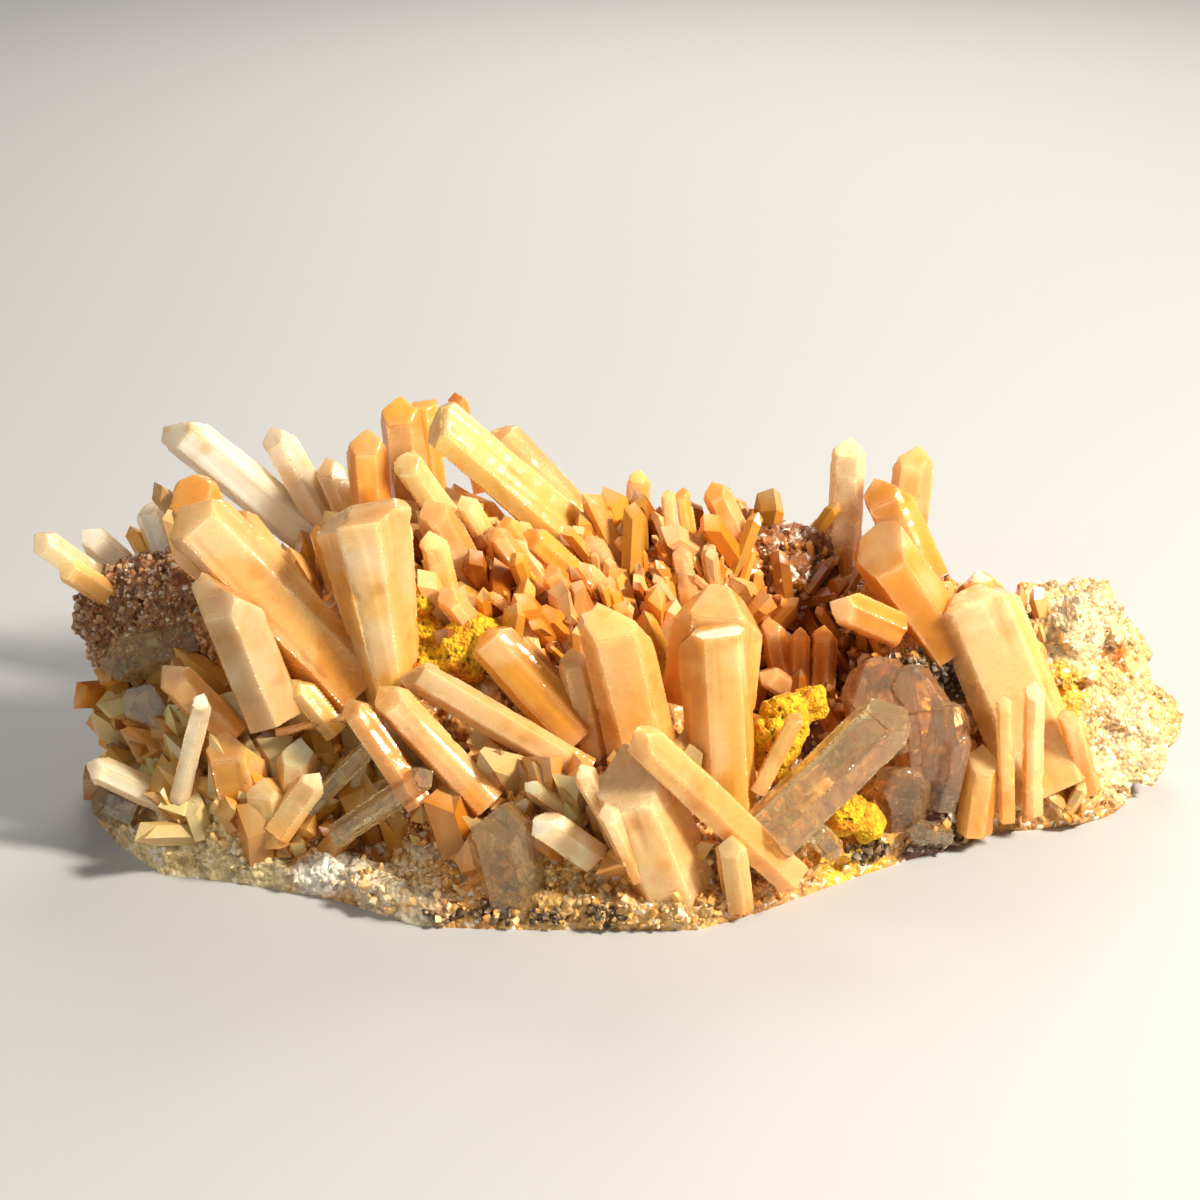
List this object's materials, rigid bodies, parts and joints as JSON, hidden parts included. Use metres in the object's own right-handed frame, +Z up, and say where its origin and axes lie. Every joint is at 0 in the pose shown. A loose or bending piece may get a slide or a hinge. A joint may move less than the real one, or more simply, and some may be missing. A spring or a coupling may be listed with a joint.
{
  "type": "citrine crystal cluster",
  "caption": "Citrine cluster: a fan of warm orange, lemon and smoky quartz points on a golden matrix plate with ochre crusts, sawn flat below so that it stands by itself.",
  "frame": {"origin": "under the middle of the cluster, on the surface that it stands on", "axes": "+X along the plate to the right of the front view, +Y to the back, +Z up"},
  "size_m": [0.2008, 0.0922, 0.0686],
  "materials": {
    "matrix": "rough granular golden quartz rock, sugary and sparkling, opaque",
    "peach_quartz": "satin translucent peach citrine",
    "amber_quartz": "translucent orange citrine with fine growth lines",
    "lemon_quartz": "translucent pale lemon citrine",
    "milky_quartz": "milky white to cream quartz",
    "clear_quartz": "clear quartz with fractures",
    "smoky_quartz": "clear smoky quartz with fractures",
    "ochre": "porous bright yellow iron ochre, matt"
  },
  "bodies": {
    "root": {"matrix": "matrix", "front_group": "peach_quartz", "peach_group": "peach_quartz", "amber_twin": "amber_quartz", "glass_pair": "clear_quartz", "peach_bars": "lemon_quartz", "left_fan": "peach_quartz", "milky_pair": "milky_quartz", "far_left_pair": "lemon_quartz", "amber_shelf": "amber_quartz", "white_block": "milky_quartz", "cream_finger": "milky_quartz", "cream_point": "milky_quartz", "orange_blunt": "amber_quartz", "orange_pointer": "amber_quartz", "amber_back_pair": "amber_quartz", "flat_orange": "amber_quartz", "lemon_giant": "lemon_quartz", "tan_pair": "lemon_quartz", "tan_behind": "lemon_quartz", "thimble": "amber_quartz", "orange_lean": "amber_quartz", "tower": "lemon_quartz", "right_group": "peach_quartz", "right_needle_left": "peach_quartz", "smoky_cluster": "smoky_quartz", "ochre_left": "ochre", "ochre_right": "ochre", "ochre_low": "ochre"}
  },
  "joints": []
}
